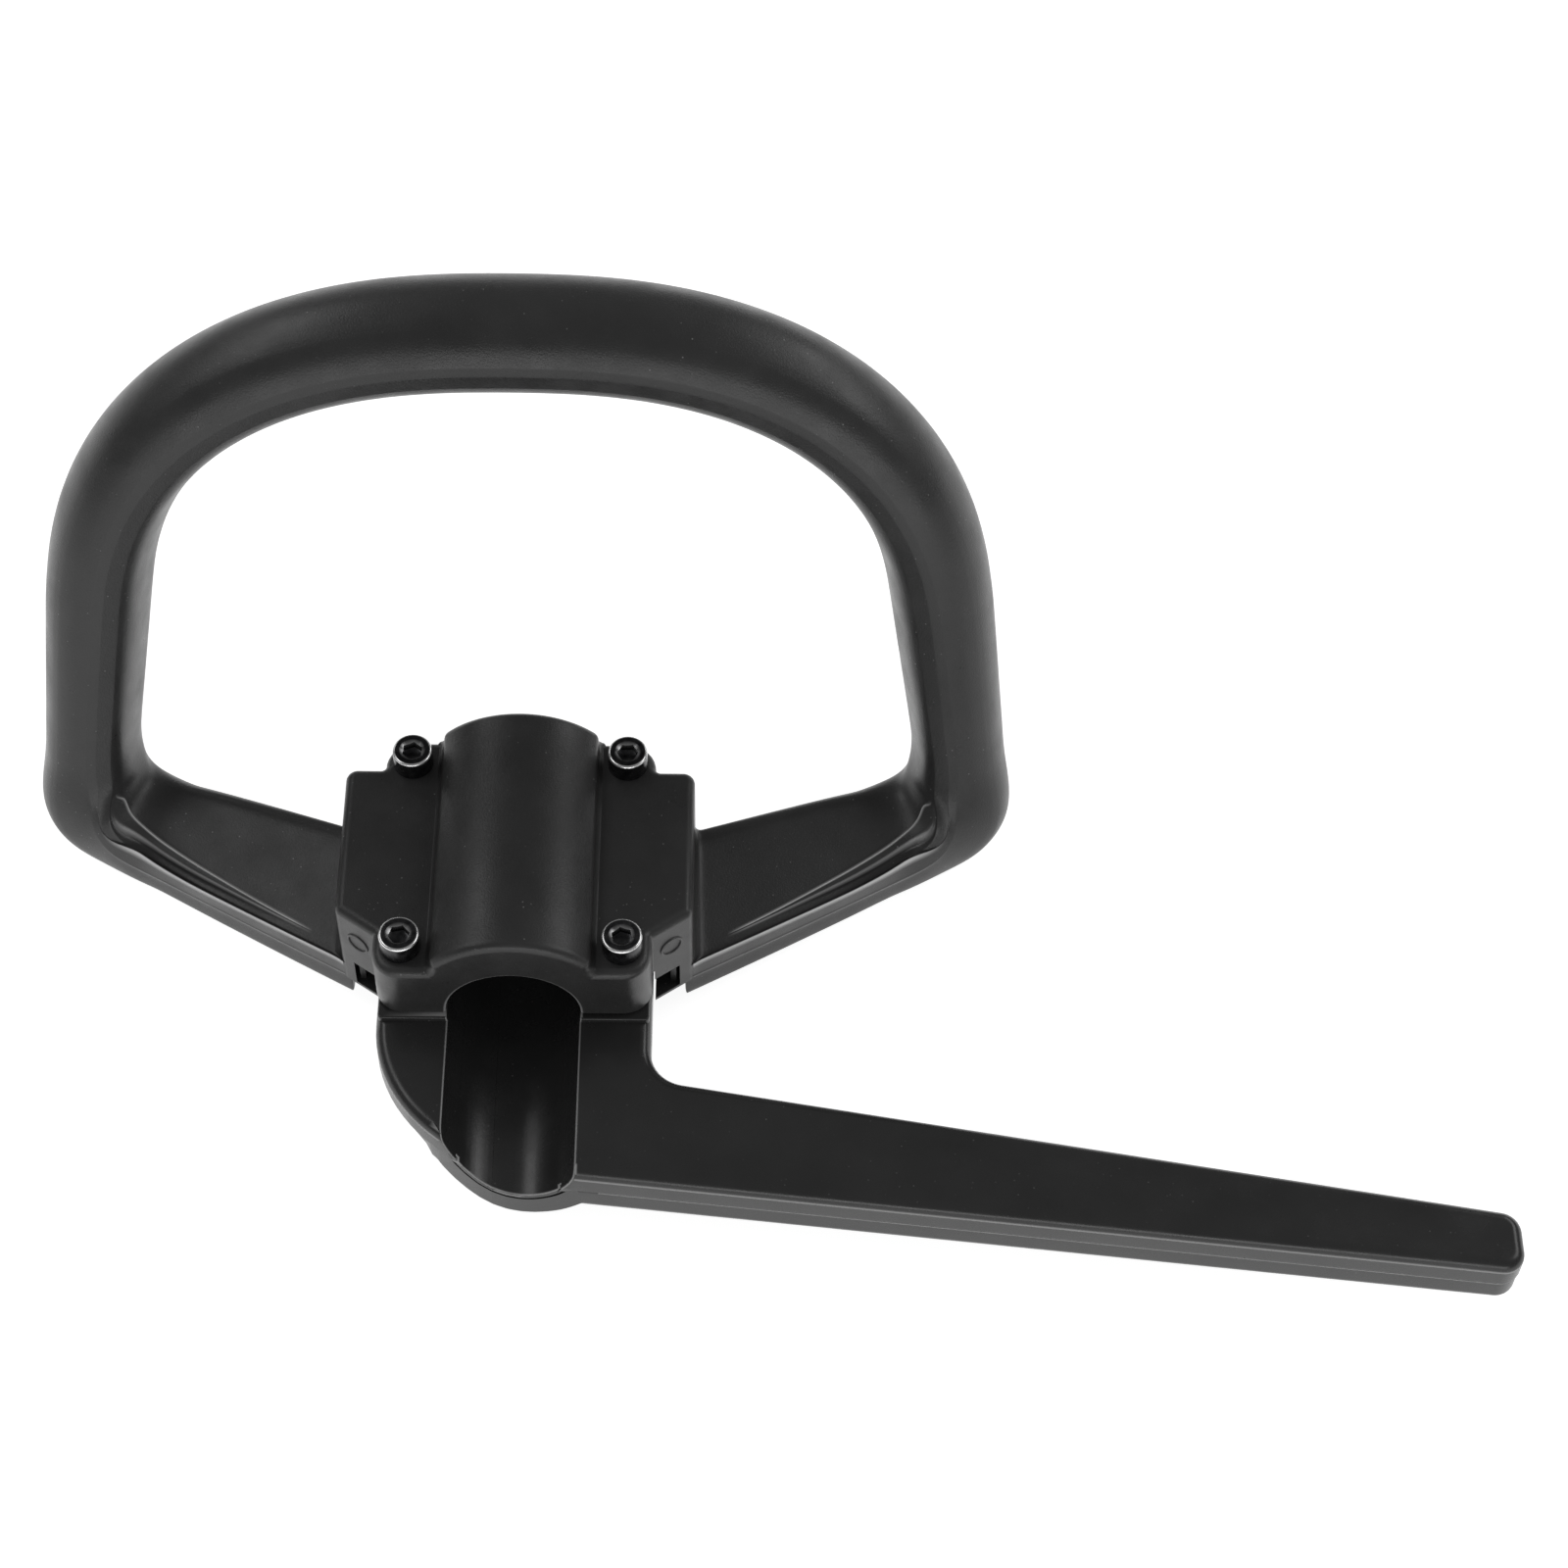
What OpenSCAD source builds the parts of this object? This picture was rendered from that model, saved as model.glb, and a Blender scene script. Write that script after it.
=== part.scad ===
// Loop handle with barrier bar, clamped on the shaft tube of a brush cutter.
// The shaft runs along Y through the origin, Z points up along the clamp screws,
// the barrier bar reaches out to +X and the loop rises behind the clamp block.

/* [Shaft and clamp] */
// Diameter of the shaft tube that the clamp grips
tube_d = 28; // [24:0.5:32]
// Gap between the saddle and the barrier bar when the clamp is tight
clamp_gap = 0.8; // [0.4:0.1:1.6]
// Length of the saddle along the shaft
saddle_len = 60; // [50:1:80]
// Distance of the screws from the sides of the tube
screw_side = 9; // [8:0.25:14]
// Distance of the screws from the ends of the saddle
screw_inset = 6.75; // [6:0.25:12]
// Radius of the rounded corners around the screws
boss_r = 6; // [5.5:0.25:8]

/* [Saddle] */
// Height of the flat screw deck above the shaft axis
deck_z = 15; // [13:0.5:20]
// Wall of the hump over the tube, at its crown
crown_wall = 11.5; // [6:0.5:16]
// Radius of the crown of the hump
crown_r = 22; // [20:0.5:30]
// Wall of the hump at the sides of the tube
hump_wall = 2.6; // [2:0.1:3.2]
// Width of each of the wings that carry the arms
wing_out = 8.4; // [7:0.2:14]
// How far behind the nose the outer front corners of the wings lie
wing_lead = 16; // [15:0.5:20]
// Slant of the flanks, from those corners to the block
flank_run = 5.8; // [3:0.2:7]
// How far before the back of the block the wings end
wing_step = 7.2; // [7.2:0.1:10]
// Depth of the wings below the shaft axis
skirt_z = 12; // [8:0.5:14]
// Outer wall of each wing
skirt_wall = 2.8; // [2:0.2:4]
// Thickness of the stiffening rib and the floor in each wing
rib_t = 1.2; // [0.8:0.1:2]
// Radius of the rounded upper edges
edge_r = 2; // [1:0.25:2.5]

/* [Loop] */
// Width over the outside of the loop at its elbows
loop_w = 214.6; // [180:0.2:240]
// Height of the top of the loop above its elbow corners, along the loop
loop_h = 132; // [110:0.2:150]
// Angle between the loop and the shaft
loop_lean = 72; // [60:1:90]
// Distance of the loop plane behind the block's middle, at the shaft axis
loop_back = 36.5; // [25:0.5:45]
// Thickness of the grip in the loop's own plane, at its top
grip_t = 23.6; // [18:0.2:26]
// The same thickness at the foot of each side
side_t = 19.8; // [16:0.2:24]
// Depth of the grip across the loop's plane
grip_d = 27; // [22:0.2:34]
// How far each side leans in from the elbow to the top
side_taper = 17.8; // [0:0.2:25]
// Level of the elbow corners below the shaft axis
elbow_drop = 13.5; // [5:0.5:25]
// Length of the bend on either side of an elbow corner
elbow_bend = 23; // [20:1:30]
// How far the outside of each elbow is filled out towards its corner
elbow_fill = 6; // [0:0.25:9]
// Height along the loop where the sides begin to curve into the top
shoulder_v = 42; // [20:1:60]
// Fullness of the curve over the top, 2 is an ellipse
top_power = 2.5; // [2:0.05:3]

/* [Arms] */
// Width of an arm at its root, along the shaft
arm_w = 34.8; // [26:0.2:38]
// Width of an arm where it bends up into the loop
arm_w_end = 24.2; // [18:0.2:30]
// Thickness of an arm
arm_t = 10.8; // [8:0.2:14]
// Slope of an arm's top panel, up towards the back
arm_pitch = 16.5; // [0:0.5:20]
// Middle of an arm's root, behind the block's middle
arm_back = 0.3; // [-4:0.1:4]
// Middle of an arm's root, below the shaft axis
arm_drop = 7.5; // [2:0.1:10]
// Height of the lip along the front of each arm above the panel, at the root
lip_h = 1.2; // [0:0.1:2]
// Depth of the groove between the lip and the panel, at the elbow
groove_d = 3; // [1:0.25:4]

/* [Barrier bar] */
// Thickness of the barrier bar
bar_t = 14.6; // [12:0.2:18]
// Height of the raised seat above the rest of the bar
seat_h = 1.2; // [0.5:0.1:2]
// Wall of the tube channel under the shaft
channel_wall = 7; // [5:0.5:9]
// Reach of the bar's lobe in front of the saddle
lobe_len = 36.2; // [28:0.2:50]
// Distance from the shaft axis to the tip of the bar
bar_reach = 207; // [150:1:240]
// Angle by which the bar's front edge falls away from the crosswise line
bar_angle = 6; // [0:0.25:12]
// Width of the bar near the clamp
bar_w_root = 24.4; // [18:0.1:30]
// Width of the bar at its tip
bar_w_tip = 13.4; // [11:0.2:20]
// Radius of the inner corner between the bar and the clamp
bar_fillet = 8; // [4:0.5:12]
// Radius of the rounded edges of the bar
bar_edge = 2.5; // [1:0.25:3.5]

/* [Fasteners] */
// Thread diameter of the clamp screws
screw_d = 5; // [4:0.5:5]
// Length of the clamp screws under the head
screw_len = 30; // [26:1:32]
// Clearance of a screw in its hole, on the diameter
screw_clear = 0.5; // [0.2:0.1:1]
// Width of the square nuts across their flats
nut_w = 8; // [7:0.5:8.5]
// Thickness of the square nuts
nut_t = 4; // [2.5:0.1:5]
// Play around each nut in its pocket
nut_play = 0.15; // [0.05:0.05:0.4]

/* [Hidden] */

plastic = [0.16, 0.16, 0.17];
black_oxide = [0.1, 0.1, 0.11];
zinc = [0.6, 0.6, 0.62];
beyond = 300;

tube_r = tube_d / 2;
nose_y = saddle_len / 2;
screw_x = tube_r + screw_side;
screw_y = nose_y - screw_inset;
block_x = screw_x + boss_r;
deck_back = screw_y + boss_r;
wing_x = block_x + wing_out;
wing_front = nose_y - wing_lead;
wing_back = deck_back - wing_step;
crown_z = tube_r + crown_wall;
hump_x = tube_r + hump_wall;
side_play = 0.4;
wing_r = edge_r + 0.3;
flank_r = 1;
scallop = 0.9;
hump_root = 1.5;
wing_roof = 1.2;
rib_slit = 0.8;

seat_z = -clamp_gap;
bar_z = seat_z - seat_h;
bar_bottom = bar_z - bar_t;
split_at = 0.45;
split_z = bar_z - split_at * bar_t;
split_step = 0.3;
seat_inset = 0.5;
seat_lead = 1;
lobe_y = -nose_y - seat_lead;
lobe_front = lobe_y - lobe_len;
tip_r = 4.5;
under_power = 1.8;

head_d = 1.5 * screw_d + 1;
head_h = screw_d;
socket_w = 0.8 * screw_d;
screw_spare = 1.5;
screw_bevel = 0.5;
thread_play = 0.1;
pin = 32;
round = 96;
nut_top_z = deck_z - screw_len + nut_t + screw_spare;

function mix(a, b, k) = a + (b - a) * k;
function bend(a, b, c, k) = mix(mix(a, b, k), mix(b, c, k), k);
function unit(v) = v / norm(v);
function flip_x(p) = [-p[0], p[1], p[2]];
function within(k) = min(max(k, 0), 1);
function smooth(k) = let (q = within(k)) q * q * (3 - 2 * q);
function reverse(p) = [for (i = [len(p) - 1:-1:0]) p[i]];

// Arc that rounds the corner b between its neighbours a and c
function corner(a, b, c, r, n = 5) = let (u = unit(a - b), w = unit(c - b), h = acos(u * w) / 2,
    m = b + unit(u + w) * r / sin(h), s = b + u * r / tan(h) - m, e = b + w * r / tan(h) - m)
    [for (i = [0:n]) m + r * unit(mix(s, e, i / n))];
// Closed outline with each corner [x, y, radius] rounded
function rounded(p) = let (n = len(p), q = [for (c = p) [c[0], c[1]]])
    [for (i = [0:n - 1]) each corner(q[(i + n - 1) % n], q[i], q[(i + 1) % n], p[i][2])];
// Counter-clockwise outline moved inwards by d
function inset(p, d) = let (n = len(p))
    [for (i = [0:n - 1]) let (u = unit(p[i] - p[(i + n - 1) % n]), w = unit(p[(i + 1) % n] - p[i]),
        m = unit(u + w)) p[i] + [-m[1], m[0]] * d / (m * w)];
// Levels of a rounded edge from the side (0) to the face (90)
edge_turn = [0, 30, 60, 90];

// Solid through closed rings of points, each counter-clockwise as the next one sees it.
// The first point of the end rings sees all of their others.
module skin(rings) {
    n = len(rings);
    m = len(rings[0]);
    walls = [for (i = [0:n - 2], j = [0:m - 1]) let (k = (j + 1) % m, a = i * m, b = a + m)
        each [[a + j, b + j, b + k], [a + j, b + k, a + k]]];
    caps = [for (j = [1:m - 2]) each [[0, j, j + 1], [(n - 1) * m, (n - 1) * m + j + 1, (n - 1) * m + j]]];
    polyhedron([for (g = rings) each g], concat(walls, caps), convexity = 8);
}

function level(p, z) = [for (q = p) [q[0], q[1], z]];
function top_edge(p, z, r) = [for (a = edge_turn) level(inset(p, r * (1 - cos(a))), z - r * (1 - sin(a)))];
function low_edge(p, z, r) = [for (a = reverse(edge_turn))
    level(inset(p, r * (1 - cos(a))), z + r * (1 - sin(a)))];

// Half of the loop's centre line: straight arm, bent elbow, straight side, round top
elbow_v = -elbow_drop / sin(loop_lean);
side_x = loop_w / 2 - side_t / 2;
top_v = elbow_v + loop_h - grip_t / 2;
root_inset = 0.8;
root_c = [wing_x - skirt_wall + root_inset, arm_back, -arm_drop];

// Point of the loop's plane, x across and v up along the plane
function loop_at(x, v) = [x, loop_back + v * cos(loop_lean), v * sin(loop_lean)];
function side_at(v) = side_x - side_taper * (v - elbow_v) / loop_h;
function top_at(a) = let (v = shoulder_v + (top_v - shoulder_v) * pow(sin(a), 2 / top_power))
    loop_at(side_at(v) * pow(max(cos(a), 0), 2 / top_power), v);

elbow_c = loop_at(side_at(elbow_v), elbow_v);
elbow_in = elbow_c + elbow_bend * unit(root_c - elbow_c);
elbow_out = loop_at(side_at(elbow_v + elbow_bend), elbow_v + elbow_bend);
shoulder = top_at(0);
arm_steps = 8;
elbow_steps = 12;
side_steps = 6;
top_steps = 22;
centre = concat(
    [for (i = [0:arm_steps - 1]) mix(root_c, elbow_in, i / arm_steps)],
    [for (i = [0:elbow_steps]) bend(elbow_in, elbow_c, elbow_out, i / elbow_steps)],
    [for (i = [1:side_steps]) mix(elbow_out, shoulder, i / side_steps)],
    [for (i = [1:top_steps]) top_at(90 * i / top_steps)]);
last = len(centre) - 1;

turn_lead = 0.25;
// How far a ring has turned from arm (0) to loop (1), and how far it has swelled to the full grip
function turned(i) = smooth((i - arm_steps) / elbow_steps + turn_lead);
function swelled(i) = smooth((i - arm_steps) / (elbow_steps + side_steps));
function tangent(i) = i == last ? [-1, 0, 0] : unit(centre[i + 1] - centre[max(i - 1, 0)]);
// Directions across and through the blade: upright at the root, square to the path from the elbow on
function frame(i) = let (t = tangent(i), k = turned(i), s = min(i / arm_steps, 1),
    a = mix(arm_pitch, loop_lean - 90, k), e = [0, cos(a), sin(a)], b = unit(e - (e * t) * t))
    [mix(e, b, s), mix([0, -sin(a), cos(a)], cross(t, b), s)];

// Section of an arm in half widths and half thicknesses, from the front edge over the underside and
// the back edge to the top panel, its crease, the groove and the ridge
arm_shape = [[-1, 0], [-0.99, -0.5], [-0.95, -0.85], [-0.85, -1], [-0.6, -1], [-0.2, -1], [0.2, -1],
    [0.6, -1], [0.85, -0.95], [0.97, -0.7], [1, -0.35], [1, 0], [0.99, 0.45], [0.94, 0.8], [0.82, 1],
    [0.6, 1], [0.3, 1], [0, 1], [-0.3, 1], [-0.5, 1], [-0.6, 1], [-0.68, 1], [-0.78, 1], [-0.87, 1],
    [-0.95, 0.85], [-0.99, 0.5]];
panel_from = 13;
groove_from = 21;
lip_from = 23;
groove_start = 0.2;
groove_end = arm_steps + 3;
// Depth of a point of the section below the lip: the panel comes up to it and the groove falls away
function sunk(i, j) = let (g = smooth((i / arm_steps - groove_start) / (1 - groove_start)),
    past = smooth((i - groove_end + 2) / 2))
    j < panel_from || j >= lip_from ? 0
    : j < groove_from ? lip_h * (1 - g) : mix(lip_h, groove_d, g) * (1 - past);
function section_at(i, j) = let (k = turned(i), s = arm_shape[j], q = atan2(s[1], s[0]),
    hw = mix(mix(arm_w, arm_w_end, min(i / arm_steps, 1)), grip_d, swelled(i)) / 2,
    fill = s[1] < 0 ? elbow_fill * pow(sin(180 * within((i - arm_steps) / elbow_steps)), 3) : 0,
    ht = mix(arm_t, mix(side_t, grip_t, smooth((i - arm_steps) / (last - arm_steps))), k) / 2 + fill)
    mix([hw * s[0], ht * s[1]], [hw * cos(q), ht * sin(q)], k) - [0, sunk(i, j)];
function ring(i) = let (f = frame(i))
    [for (j = [0:len(arm_shape) - 1]) let (s = section_at(i, j)) centre[i] + s[0] * f[0] + s[1] * f[1]];

module loop() {
    half = [for (i = [0:last]) ring(i)];
    skin(concat(half, [for (i = [last - 1:-1:0]) [for (p = half[i]) flip_x(p)]]));
}

// Plan of the saddle: nose, slanted flanks, wings and the corners around the rear screws
saddle_half = [[block_x, -nose_y, boss_r], [block_x, -wing_front - flank_run, flank_r],
    [wing_x, -wing_front, wing_r], [wing_x, wing_back, wing_r],
    [block_x, wing_back, scallop * (wing_step - boss_r)], [block_x, deck_back, boss_r]];
saddle_plan = concat([[0, -nose_y]],
    rounded(concat(saddle_half, reverse([for (c = saddle_half) flip_x(c)]))));

module at_screws() {
    for (sx = [-1, 1], sy = [-1, 1])
        translate([sx * screw_x, sy * screw_y, 0]) children();
}

module both_sides() {
    for (s = [0, 1]) mirror([s, 0, 0]) children();
}

// Raised hump over the shaft, its ends rounded over
module hump() {
    steps = 16;
    turn = asin(hump_x / crown_r);
    crown = [for (i = [0:steps]) let (a = turn * (1 - 2 * i / steps))
        [crown_r * sin(a), crown_z - crown_r + crown_r * cos(a)]];
    foot = [hump_x, deck_z - hump_root * edge_r];
    plan = concat(corner(foot, crown[0], crown[1], edge_r), [for (i = [1:steps - 1]) crown[i]],
        corner(crown[steps - 1], crown[steps], [-foot[0], foot[1]], edge_r), [[-foot[0], foot[1]], foot]);
    rotate([90, 0, 0]) skin(concat(low_edge(plan, -nose_y, edge_r), top_edge(plan, nose_y, edge_r)));
}

// Clamp block with its wings, hollow below
module saddle() {
    difference() {
        union() {
            skin(concat([level(saddle_plan, -skirt_z)], top_edge(saddle_plan, deck_z, edge_r)));
            hump();
        }
        // Room for the seat of the barrier bar between the skirts
        translate([-block_x - side_play, -nose_y - 1, -beyond])
            cube([2 * (block_x + side_play), saddle_len + 2, beyond]);
        // Pocket in each wing, open to the front, with a floor
        both_sides() translate([block_x, -nose_y, rib_t - skirt_z])
            cube([wing_x - skirt_wall - block_x, nose_y + wing_back - skirt_wall, skirt_z - rib_t + wing_roof]);
    }
    // Stiffening rib in each pocket, beside the outer wall
    both_sides() translate([wing_x - skirt_wall - rib_slit - rib_t, -wing_front - 1, -skirt_z + rib_t / 2])
        cube([rib_t, 2 * wing_front, skirt_z + wing_roof]);
}

module loop_handle() {
    color(plastic) difference() {
        union() {
            saddle();
            loop();
        }
        rotate([90, 0, 0]) cylinder(r = tube_r, h = saddle_len + 10, center = true, $fn = round);
        at_screws() cylinder(d = screw_d + screw_clear, h = beyond, center = true, $fn = pin);
    }
}

// Plan of the barrier bar: seat, lobe in front of the saddle and tapering bar with a filleted corner
function bar_front_y(x) = lobe_front - (x - tube_r) * tan(bar_angle);
function bar_plan(power) = let (root_x = block_x + bar_fillet,
    root = [root_x, bar_front_y(root_x) + bar_w_root],
    tip = [bar_reach, bar_front_y(bar_reach)], tip_back = tip + [0, bar_w_tip],
    inner = mix(tip_back, root, (bar_reach - block_x) / (bar_reach - root_x)),
    back_r = [block_x, deck_back], back_l = [-block_x, deck_back], front = [tube_r, lobe_front],
    lobe = [for (a = [0:6:84]) [tube_r - (tube_r + block_x) * pow(cos(a), 2 / power),
        lobe_y - lobe_len * pow(sin(a), 2 / power)]])
    concat([front], corner(front, tip, tip_back, tip_r), corner(tip, tip_back, inner, tip_r),
        corner(tip_back, inner, back_r, bar_fillet), corner(inner, back_r, back_l, boss_r),
        corner(back_r, back_l, lobe[0], boss_r), lobe);

module barrier_bar() {
    upper = bar_plan(2);
    lower = inset(bar_plan(under_power), split_step);
    pad_x = block_x - seat_inset;
    color(plastic) difference() {
        union() {
            // The upper and lower halves of the mould meet in a small step
            skin(concat(low_edge(lower, bar_bottom, bar_edge), [level(lower, split_z - 0.1)],
                [level(upper, split_z + 0.1)], top_edge(upper, bar_z, bar_edge)));
            // Seat below the saddle
            translate([0, 0, split_z]) linear_extrude(seat_z - split_z)
                polygon(rounded([[pad_x, lobe_y, 1], [pad_x, deck_back - seat_inset, boss_r],
                    [-pad_x, deck_back - seat_inset, boss_r], [-pad_x, lobe_y, 1]]));
            // Channel wall under the shaft
            intersection() {
                rotate([90, 0, 0]) cylinder(r = tube_r + channel_wall, h = beyond, center = true, $fn = round);
                translate([0, 0, -beyond]) linear_extrude(beyond + split_z) polygon(lower);
            }
        }
        rotate([90, 0, 0]) cylinder(r = tube_r, h = beyond, center = true, $fn = round);
        at_screws() {
            cylinder(d = screw_d + screw_clear, h = beyond, center = true, $fn = pin);
            translate([-nut_w / 2 - nut_play, -nut_w / 2 - nut_play, bar_bottom - 1])
                cube([nut_w + 2 * nut_play, nut_w + 2 * nut_play, nut_top_z - bar_bottom + 1]);
        }
    }
}

// Socket-head cap screw, seated on the deck
module screw(sx, sy) {
    r = screw_d / 2;
    hr = head_d / 2;
    c = screw_bevel;
    color(black_oxide) translate([sx * screw_x, sy * screw_y, deck_z]) difference() {
        rotate_extrude($fn = round / 2) polygon([[0, -screw_len], [r - c, -screw_len],
            [r, -screw_len + c], [r, 0], [hr, 0], [hr, head_h - c], [hr - c, head_h], [0, head_h]]);
        translate([0, 0, head_h - r]) cylinder(d = socket_w / cos(30), h = screw_d, $fn = 6);
    }
}

// Square nut, held in its pocket in the barrier bar
module nut(sx, sy) {
    color(zinc) translate([sx * screw_x, sy * screw_y, nut_top_z - nut_t]) difference() {
        translate([-nut_w / 2, -nut_w / 2, 0]) cube([nut_w, nut_w, nut_t]);
        translate([0, 0, -1]) cylinder(d = screw_d + thread_play, h = nut_t + 2, $fn = pin);
    }
}

loop_handle();
barrier_bar();
screw(-1, -1);  // screw_front_left
screw(1, -1);  // screw_front_right
screw(-1, 1);  // screw_back_left
screw(1, 1);  // screw_back_right
nut(-1, -1);  // nut_front_left
nut(1, -1);  // nut_front_right
nut(-1, 1);  // nut_back_left
nut(1, 1);  // nut_back_right
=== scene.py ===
"""Loop handle with barrier bar, clamped on a brush cutter shaft: its visual model and studio."""
import math

import bmesh
import bpy
from mathutils import Matrix, Vector


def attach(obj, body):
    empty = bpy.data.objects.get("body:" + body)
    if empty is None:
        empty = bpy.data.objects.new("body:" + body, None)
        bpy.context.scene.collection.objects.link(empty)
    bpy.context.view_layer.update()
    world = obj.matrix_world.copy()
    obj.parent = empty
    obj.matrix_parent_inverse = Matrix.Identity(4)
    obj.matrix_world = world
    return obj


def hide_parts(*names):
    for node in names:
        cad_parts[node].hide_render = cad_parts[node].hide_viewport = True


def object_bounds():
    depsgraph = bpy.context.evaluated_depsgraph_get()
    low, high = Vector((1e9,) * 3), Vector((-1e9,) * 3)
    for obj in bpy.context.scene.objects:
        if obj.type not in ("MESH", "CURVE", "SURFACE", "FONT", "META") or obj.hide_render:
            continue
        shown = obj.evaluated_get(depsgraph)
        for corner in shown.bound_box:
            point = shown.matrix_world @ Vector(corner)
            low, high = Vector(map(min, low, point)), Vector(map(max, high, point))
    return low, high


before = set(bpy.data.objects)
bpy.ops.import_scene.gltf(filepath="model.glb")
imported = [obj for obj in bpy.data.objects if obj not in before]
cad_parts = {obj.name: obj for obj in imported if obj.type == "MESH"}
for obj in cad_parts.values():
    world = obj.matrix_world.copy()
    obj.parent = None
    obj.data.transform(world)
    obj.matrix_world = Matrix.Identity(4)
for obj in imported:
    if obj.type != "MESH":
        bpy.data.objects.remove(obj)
cad_box = [list(corner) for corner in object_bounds()]
mm = 0.001

# Loop and arms: one glass-filled nylon moulding with the clamp saddle. Each arm is a flat blade with
# a lip and a groove along its front, which bends up at the elbow and swells into the oval grip.
saddle_len, wing_x, deck_z, tube_r = 60, 37.4, 15, 14
loop_w, loop_h, loop_back, lean = 214.6, 132, 36.5, math.radians(72)
grip_t, side_t, grip_d, side_taper = 23.6, 19.8, 27, 17.8
elbow_drop, elbow_bend, elbow_fill, shoulder_v, top_power = 13.5, 23, 6, 42, 2.5
arm_w, arm_w_end, arm_t, arm_pitch = 34.8, 24.2, 10.8, math.radians(16.5)
lip_h, root_fillet = 1.2, 2.0
root = Vector((wing_x - 2, 0.3, -7.5))
elbow_v = -elbow_drop / math.sin(lean)
side_x = loop_w / 2 - side_t / 2
top_v = elbow_v + loop_h - grip_t / 2


def smooth(k):
    k = min(max(k, 0), 1)
    return k * k * (3 - 2 * k)


def mix(a, b, k):
    return a + (b - a) * k


def side_at(v):
    return side_x - side_taper * (v - elbow_v) / loop_h


def loop_at(x, v):
    return Vector((x, loop_back + v * math.cos(lean), v * math.sin(lean)))


def top_at(angle):
    v = shoulder_v + (top_v - shoulder_v) * math.sin(angle) ** (2 / top_power)
    return loop_at(side_at(v) * max(math.cos(angle), 0) ** (2 / top_power), v)


# Centre line of one half, with the place of each point in the arm (0..1), elbow (1..2) and grip (2..)
elbow = loop_at(side_at(elbow_v), elbow_v)
elbow_in = elbow + elbow_bend * (root - elbow).normalized()
elbow_out = loop_at(side_at(elbow_v + elbow_bend), elbow_v + elbow_bend)
shoulder = top_at(0)
arm_run = (elbow_in - root).length
arm_stops = [0, 0.8, 2, 2.4, 2.9, 3.6, 4.5, 6, 9, 14, 20, 26, 32, 38, 44]
line = [(root.lerp(elbow_in, d / arm_run), d / arm_run) for d in arm_stops if d < arm_run - 2]
for i in range(17):
    k = i / 16
    line.append((elbow_in.lerp(elbow, k).lerp(elbow.lerp(elbow_out, k), k), 1 + k))
line += [(elbow_out.lerp(shoulder, i / 6), 2 + i / 6) for i in range(1, 7)]
line += [(top_at(math.pi / 2 * i / 22), 3 + i / 22) for i in range(1, 23)]

# Back and underside of the section, in half widths and half thicknesses; the last five lie on the panel
blade = [(-0.9, -1), (-0.6, -1), (-0.2, -1), (0.2, -1), (0.6, -1), (0.85, -0.95), (0.97, -0.7), (1, -0.35),
         (1, 0), (0.99, 0.45), (0.94, 0.8), (0.82, 1), (0.6, 1), (0.36, 1), (0.14, 1)]


def front(at, in_arm, in_elbow, half_w):
    """Front of the section: half widths, half thicknesses, mm below the top and how far it is worn
    and painted bright as a highlight. From the panel over a land that tapers towards the saddle, down into the
    trough, over the lip and down the leaning front."""
    grown = smooth((in_arm - 0.2) / 0.8)
    fade, lost = 1 - smooth((in_elbow - 0.12) / 0.22), 1 - smooth((in_elbow - 0.3) / 0.2)
    near = 1 - smooth((in_elbow - 0.05) / 0.28)
    low = mix(0.4, 1, 1 - smooth((in_elbow - 0.05) / 0.3))
    ridge = 3.5 * near
    inner = ridge + 2.9 - 0.4 * smooth(in_elbow / 0.2)
    outer = max(inner + 0.5 + 1.4 * smooth((in_arm - 0.25) / 0.75) + 1.8 * smooth(in_elbow / 0.3)
                - 4 * smooth((in_elbow - 0.28) / 0.25), inner + 0.5)
    panel = lip_h * (1 - grown)
    land = panel - 0.8 * grown * lost
    trough = mix(lip_h, 1.9, grown) * fade
    edge = smooth((in_arm - 0.22) / 0.1) * lost
    points = [(outer + 1.6, 1, panel, 0), (outer + 0.45, 1, panel, 0),
              (outer + 0.15, 1, mix(land, panel, 0.7), 0.4 * edge), (outer - 0.05, 1, land, edge),
              (outer - 0.25, 1, land, 0), (inner + 0.2, 1, land, 0),
              (inner, 1, mix(land, trough, 0.15), 0.4 * edge * fade), (inner - 0.35, 1, trough, 0),
              (inner - 1.4, 1, trough, 0), (ridge + 0.75, 1, trough, 0), (ridge + 0.45, 1, trough * 0.7, 0),
              (ridge + 0.2, 1, 0.08 * near, 0), (ridge - 0.05 * near, 0.99, 0, near),
              (ridge - 0.22 * near, 0.92, 0, 0.8 * near), (ridge - 0.45 * near, 0.76, 0, 0),
              (2.2 * near, 0.24, 0, 0), (2.05 * near, 0.16, 0, 0), (1.75 * near, 0.11, 0, 0.25 * near),
              (1.9 * near, 0.05, 0, 0), (0.9 * near, -0.35, 0, 0), (0.15 * near, -0.68, 0, 0),
              (0.05, -0.8, 0, 0), (0.5, -0.93, 0, 0)]
    return [(back / half_w - 1, v * (low if 0 < v and back < ridge + 0.6 else 1), drop, bright)
            for back, v, drop, bright in points]


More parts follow.
